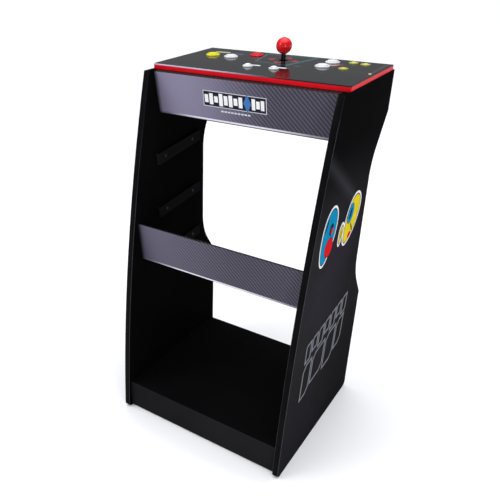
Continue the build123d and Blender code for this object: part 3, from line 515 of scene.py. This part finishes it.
# ---- push buttons ----
BARREL_DEPTH, BARREL_FLOOR, STEM_HOLE_R = 24 * MM, 2 * MM, 2.2 * MM
THREAD_START, THREAD_PITCH, THREAD_DEPTH = 4 * MM, 1.5 * MM, 0.55 * MM
CAP_SKIRT, CAP_STEM_R, CAP_STEM_END = 8 * MM, 1.9 * MM, 20.7 * MM
CAP_EDGE, CAP_CROWN = 1.5 * MM, 1.2 * MM


def bezel_profile(outer, bore, barrel, rim):
    """Rim with a rolled edge and an eased inner one, over a threaded barrel with a floor."""
    roll, ease, chamfer = 0.68 * rim, 1.0 * MM, 0.4 * MM
    floor_top = -BARREL_DEPTH + BARREL_FLOOR
    points = [(bore, floor_top), (bore, rim - 1.5 * ease)]
    points += arc((bore + ease, rim - ease), ease, 180, 90, 5)
    points += arc((outer - roll, rim - roll), roll, 90, 8, 8)
    points += [(outer, chamfer), (outer - chamfer, 0.0), (barrel, 0.0)]
    turns = round((BARREL_DEPTH - THREAD_START - BARREL_FLOOR) / THREAD_PITCH)
    for turn in range(turns):
        start = -THREAD_START - turn * THREAD_PITCH
        points += [(barrel, start), (barrel - THREAD_DEPTH, start - THREAD_PITCH / 2)]
    points += [(barrel, -THREAD_START - turns * THREAD_PITCH), (barrel, -BARREL_DEPTH)]
    return points + [(STEM_HOLE_R, -BARREL_DEPTH), (STEM_HOLE_R, floor_top), (bore, floor_top)]


def cap_profile(radius, height):
    """Plunger: crowned top, rolled edge, skirt and a thin stem."""
    flat = radius - CAP_EDGE
    crown = [(flat * k / 8, height + CAP_CROWN * (1 - (k / 8) ** 2)) for k in range(8)]
    points = crown + arc((flat, height - CAP_EDGE), CAP_EDGE, 90, 0, 6)
    return points + [(radius, -CAP_SKIRT), (CAP_STEM_R, -CAP_SKIRT), (CAP_STEM_R, -CAP_STEM_END),
                     (0.0, -CAP_STEM_END)]


# millimetres: the radii of the rim, barrel, bore and plunger, then the heights of rim and shoulder
STYLE_OF = {"large_button_bodies": (16.8, 14.0, 12.2, 11.9, 3.2, 5.4),
            "small_button_bodies": (11.6, 9.0, 7.5, 7.2, 3.2, 5.4),
            "menu_button_bodies": (11.6, 9.0, 7.5, 7.2, 1.8, 2.6)}
RIMS = {"yellow": "yellow_button", "white": "button_rim", "red": "red_button", "pale_yellow": "small_rim"}
for name, colour in BUTTONS.items():
    group = {"start": "small_button_bodies", "menu": "menu_button_bodies"}.get(name.split("_")[0],
                                                                              "large_button_bodies")
    outer, barrel, bore, radius, rim_height, shoulder = (value * MM for value in STYLE_OF[group])
    foot = on_deck(*deck_place(name))
    rim = piece(name + "_rim", "cabinet", RIMS[colour],
                lathe(bezel_profile(outer, bore, barrel, rim_height), foot))
    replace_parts(shade_edges(rim), group)
    cap = piece(name + "_cap", name + "_body", colour + "_button",
                lathe(cap_profile(radius, shoulder), foot))
    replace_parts(shade_edges(cap), name)


# ---- joystick ----
stick_foot = on_deck(*deck_place("joystick_shaft_cover"))
ball_low, ball_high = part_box("ball_top")
BALL_R = (ball_high.x - ball_low.x) / 2
ball_middle = (ball_high.z - BALL_R - stick_foot.z) / deck_normal.z
sleeve_low, sleeve_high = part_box("joystick_shaft_cover")
flat_angle = asin((sleeve_high.x - sleeve_low.x) / 2 / BALL_R)
ball_profile = [(0.0, ball_middle - BALL_R * cos(flat_angle))]
ball_profile += arc((0, ball_middle), BALL_R, degrees(flat_angle) - 90, 90, 48)[:-1]
ball_profile += [(0.0, ball_middle + BALL_R)]
ball = piece("ball", "stick", "red_ball", lathe(ball_profile, stick_foot, steps=128))
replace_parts(shade_edges(ball), "ball_top")


# ---- printed graphics: thin vinyl, as plain shapes ----
side_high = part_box("right_side_panel")[1]


def side_place(side):
    """Map from (y, z, height off the face) to the frame, on a side panel's outer face."""
    def to_frame(y, z, height):
        return Vector((side * (side_high.x + FILM_GAP + height), y, z))
    return to_frame


def ink(name, level, roughness=0.35):
    """Printed vinyl colour with a little mottle."""
    return moulded(name, [c * 0.9 for c in srgb(*level)], srgb(*level), roughness, 0.002, grain=1400.0)


INKS = {
    "white": ink("ink_white", (240, 240, 242)), "outline": ink("ink_outline", (14, 14, 16)),
    "blue": ink("ink_blue", (0, 140, 186)), "red": ink("ink_red", (216, 24, 34)),
    "yellow": ink("ink_yellow", (226, 206, 28)), "grey": ink("ink_grey", (128, 128, 134)),
    "deep": ink("ink_deep", (40, 38, 50)), "silver": ink("ink_silver", (214, 216, 226)),
    "azure": ink("ink_azure", (70, 118, 178)),
}
INK_ORDER = list(INKS)


def egg(centre, half_width, half_height, lean, point=0.0, grow=0.0, steps=72):
    """Egg-shaped outline: lean in degrees, point narrows its lower end, grow widens it all round."""
    tilt = radians(lean)
    outline = []
    for k in range(steps):
        angle = 2 * pi * k / steps
        narrow = 1 - point * (0.5 - 0.5 * sin(angle))
        a = (half_width + grow) * cos(angle) * narrow
        b = (half_height + grow) * sin(angle)
        outline.append((centre[0] + a * cos(tilt) + b * sin(tilt),
                        centre[1] - a * sin(tilt) + b * cos(tilt)))
    return outline


def sticker(side, name, centre, half_width, half_height, lean, field, accents, lift=0):
    """Leaf-shaped sticker: white edge, dark line, coloured field and plain accents, over lift layers."""
    to_frame = side_place(side)

    def build(bm):
        for grow, colour, layer in ((6.8, "white", 1), (1.2, "outline", 2), (-1.4, field, 3)):
            outline = egg(centre, half_width, half_height, lean, 0.3, grow * MM)
            prism(bm, outline, FILM * (layer + lift), to_frame, INK_ORDER.index(colour))
        for layer, (colour, offset, accent_width, accent_height, accent_lean) in enumerate(accents, 4):
            middle = (centre[0] + offset[0], centre[1] + offset[1])
            outline = egg(middle, accent_width, accent_height, accent_lean)
            prism(bm, outline, FILM * (layer + lift), to_frame, INK_ORDER.index(colour))
    return piece(name, "cabinet", "side_board", build, *INKS.values())


def inset(outline, width):
    """Convex outline moved in by width, corner by corner."""
    count = len(outline)
    moved = []
    for k in range(count):
        before, here, after = (Vector(outline[i % count]) for i in (k - 1, k, k + 1))
        into, out = (here - before).normalized(), (after - here).normalized()
        bisector = (out - into).normalized()
        share = max(0.25, abs(into.cross(bisector)))
        moved.append(tuple(here + bisector * width / share))
    return moved


def angular_blocks(side, name):
    """Rows of leaning outlined blocks that climb to the rear."""
    to_frame = side_place(side)
    start, climb, rake = Vector((-0.139, 0.184)), 0.13, 0.10
    line, gap, lower = 5.4 * MM, 3.5 * MM, 12 * MM

    def block(a, b, width, height, cut):
        """Block at (a, b) in the graphic's own leaning axes, with two corners cut off."""
        corners = [(a, b), (a + width - cut, b), (a + width, b + cut), (a + width, b + height),
                   (a + cut, b + height), (a, b + height - cut)]
        return [(start.x + p + rake * q, start.y + climb * p + q) for p, q in corners]

    def build(bm):
        rows = [(0.104, 0.052, [0.035] * 7, 0.005), (0.0, 0.098, [0.052, 0.076, 0.066, 0.050], 0.015)]
        for bottom, height, widths, cut in rows:
            a = 0.0
            for index, width in enumerate(widths):
                drop = lower if index % 2 else 0.0
                shape = block(a, bottom + drop, width - gap, height - drop, cut)
                prism(bm, shape, FILM, to_frame, INK_ORDER.index("grey"), inset(shape, line))
                a += width
    return piece(name, "cabinet", "side_board", build, *INKS.values())


# accents: colour, offset from the middle as (y, z), half width, half height, lean in degrees
for side, label in ((-1, "left"), (1, "right")):
    sticker(side, label + "_blue_sticker", (-0.071, 0.596), 0.038, 0.063, 22, "blue",
            [("outline", (0.006, -0.027), 0.0225, 0.0235, 40), ("red", (0.006, -0.027), 0.021, 0.022, 40),
             ("outline", (0.012, 0.014), 0.009, 0.014, 20), ("red", (0.014, 0.010), 0.006, 0.008, 20),
             ("outline", (-0.016, 0.030), 0.002, 0.016, 30)])
    sticker(side, label + "_yellow_sticker", (0.064, 0.592), 0.040, 0.060, 34, "yellow",
            [("outline", (-0.010, 0.016), 0.0185, 0.0245, 25), ("blue", (-0.010, 0.016), 0.017, 0.023, 25),
             ("outline", (-0.010, 0.016), 0.005, 0.014, 25),
             ("outline", (0.004, -0.022), 0.014, 0.0022, 60),
             ("red", (-0.006, -0.038), 0.006, 0.009, 60)])
    sticker(side, label + "_small_sticker", (0.004, 0.574), 0.010, 0.022, 18, "yellow",
            [("outline", (0.001, 0.0), 0.0016, 0.012, 18)], lift=4)
    angular_blocks(side, label + "_angular_blocks")


# ---- apron emblem ----
apron_low, apron_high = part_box("front_apron")
front_faces = (face for face in frame["nodes"]["front_apron"].data.polygons if face.normal.y < 0)
apron_out = max(front_faces, key=lambda face: face.area).normal.copy()
apron_up = apron_out.cross(Vector((1, 0, 0)))
apron_top = Vector((0, apron_low.y, apron_high.z + BOARD_T * apron_out.z))


def on_apron(x, down, height):
    """Point at x, a distance below the apron's front top edge, and a height off its face."""
    return apron_top - apron_up * down + apron_out * (height + FILM_GAP) + Vector((x, 0, 0))


def emblem(bm):
    """Row of stepped bars with one blue diamond, a line round it, and a row of dashes below."""
    middle_x, middle = -0.016, 0.046

    def bar(a, width, height, colour, layer=2, shift=0.0):
        left, right = middle_x + a, middle_x + a + width
        low, high = middle + shift + height / 2, middle + shift - height / 2
        outline = [(left, low), (right, low), (right, high), (left, high)]
        prism(bm, outline, FILM * layer, on_apron, INK_ORDER.index(colour))

    bar(-0.080, 0.160, 0.036, "silver", 1)
    bar(-0.0785, 0.157, 0.033, "deep", 1.5)
    for k, height in enumerate((0.018, 0.025, 0.014, 0.028, 0.021, 0.026, 0.016, 0.024)):
        bar(-0.076 + k * 0.0125, 0.0095, height, "white")
    for k, height in enumerate((0.025, 0.017, 0.022)):
        bar(0.044 + k * 0.0110, 0.0085, height, "white")
    quarters = (k * pi / 2 for k in range(4))
    gem = [(middle_x + 0.033 + 0.0095 * cos(a), middle + 0.021 * sin(a)) for a in quarters]
    prism(bm, gem, FILM * 3, on_apron, INK_ORDER.index("azure"))
    for k in range(9):
        bar(-0.035 + k * 0.0085, 0.0065, 0.0035, "silver", 1, 0.026)


piece("apron_emblem", "cabinet", "printed_board", emblem, *INKS.values())


# ---- softened edges of the boards ----
def soften(node, width, segments=2, angle=40):
    """Small rounds on a board's edges, by modifiers: the mesh itself stays as it is."""
    weld = frame["nodes"][node].modifiers.new("weld", "WELD")
    weld.merge_threshold = 1e-5
    bevel = frame["nodes"][node].modifiers.new("bevel", "BEVEL")
    bevel.width = width
    bevel.segments = segments
    bevel.limit_method = "ANGLE"
    bevel.angle_limit = radians(angle)
    bevel.use_clamp_overlap = True


soften("right_edge_trim", 1.2 * MM, 4)
soften("left_edge_trim", 1.2 * MM, 4)
soften("deck_edge_trim", 1.5 * MM, 3)
for node in ("left_runners", "right_runners", "kick_panel", "bottom_shelf"):
    soften(node, 0.8 * MM)


# ---- stage, light and camera ----
def floor_look():
    look = Look("studio_floor", roughness=0.9, specular=0.1)
    look.set("Base Color", look.mix(look.noise(2.0), srgb(240, 240, 241), srgb(243, 243, 244)))
    return look.material


FLOOR_HALF = 60.0
corners = [(a * FLOOR_HALF, b * FLOOR_HALF, 0) for a, b in ((-1, -1), (1, -1), (1, 1), (-1, 1))]
floor_mesh = bpy.data.meshes.new("studio_floor")
floor_mesh.from_pydata(corners, [], [(0, 1, 2, 3)])
floor_mesh.materials.append(floor_look())
floor = bpy.data.objects.new("studio_floor", floor_mesh)
scene.collection.objects.link(floor)

# sky: dim round the horizon, bright overhead, so that black gloss stays black and the floor white
HORIZON, OVERHEAD = (0.6, 0.18), (0.95, 2.85)      # height of the direction, strength
world = bpy.data.worlds.new("studio")
world.use_nodes = True
sky = world.node_tree
direction = sky.nodes.new("ShaderNodeTexCoord").outputs["Generated"]
height = sky.nodes.new("ShaderNodeSeparateXYZ")
sky.links.new(direction, height.inputs[0])
overhead = sky.nodes.new("ShaderNodeMapRange")
overhead.interpolation_type = "SMOOTHSTEP"
for socket, number in zip(overhead.inputs[1:5], (HORIZON[0], OVERHEAD[0], HORIZON[1], OVERHEAD[1])):
    socket.default_value = number
sky.links.new(height.outputs["Z"], overhead.inputs[0])
sky.links.new(overhead.outputs[0], sky.nodes["Background"].inputs["Strength"])
sky.nodes["Background"].inputs["Color"].default_value = (0.96, 0.97, 1.0, 1)
scene.world = world


def softbox(name, place, target, size, power, colour=(1, 1, 1), tall=1.0):
    """Area light aimed at a point, tall times as high as it is wide."""
    data = bpy.data.lights.new(name, "AREA")
    data.shape = "RECTANGLE"
    data.size = size
    data.size_y = size * tall
    data.energy = power
    data.color = colour
    light = bpy.data.objects.new(name, data)
    light.location = place
    light.rotation_euler = (Vector(target) - Vector(place)).to_track_quat("-Z", "Y").to_euler()
    scene.collection.objects.link(light)


softbox("key", (-1.9, -2.3, 2.5), (0, 0, 0.6), 1.4, 32)
softbox("edge_light", (2.17, -1.82, 1.05), (0.24, -0.1, 0.77), 0.12, 12, tall=12)
softbox("top", (0.2, 0.6, 3.0), (0, 0, 0.9), 1.8, 12)

CAMERA_PLACE, CAMERA_DOWN, CAMERA_TURN = (0.6381, -1.1609, 1.1272), 29.381, 33.924    # metres, degrees
camera_data = bpy.data.cameras.new("camera")
camera_data.lens = 41.79
camera_data.shift_x = 0.1042
camera_data.shift_y = 0.0585
camera = bpy.data.objects.new("camera", camera_data)
camera.location = CAMERA_PLACE
camera.rotation_euler = (radians(90 - CAMERA_DOWN), 0, radians(CAMERA_TURN))
scene.collection.objects.link(camera)
scene.camera = camera
scene.view_settings.view_transform = "Standard"
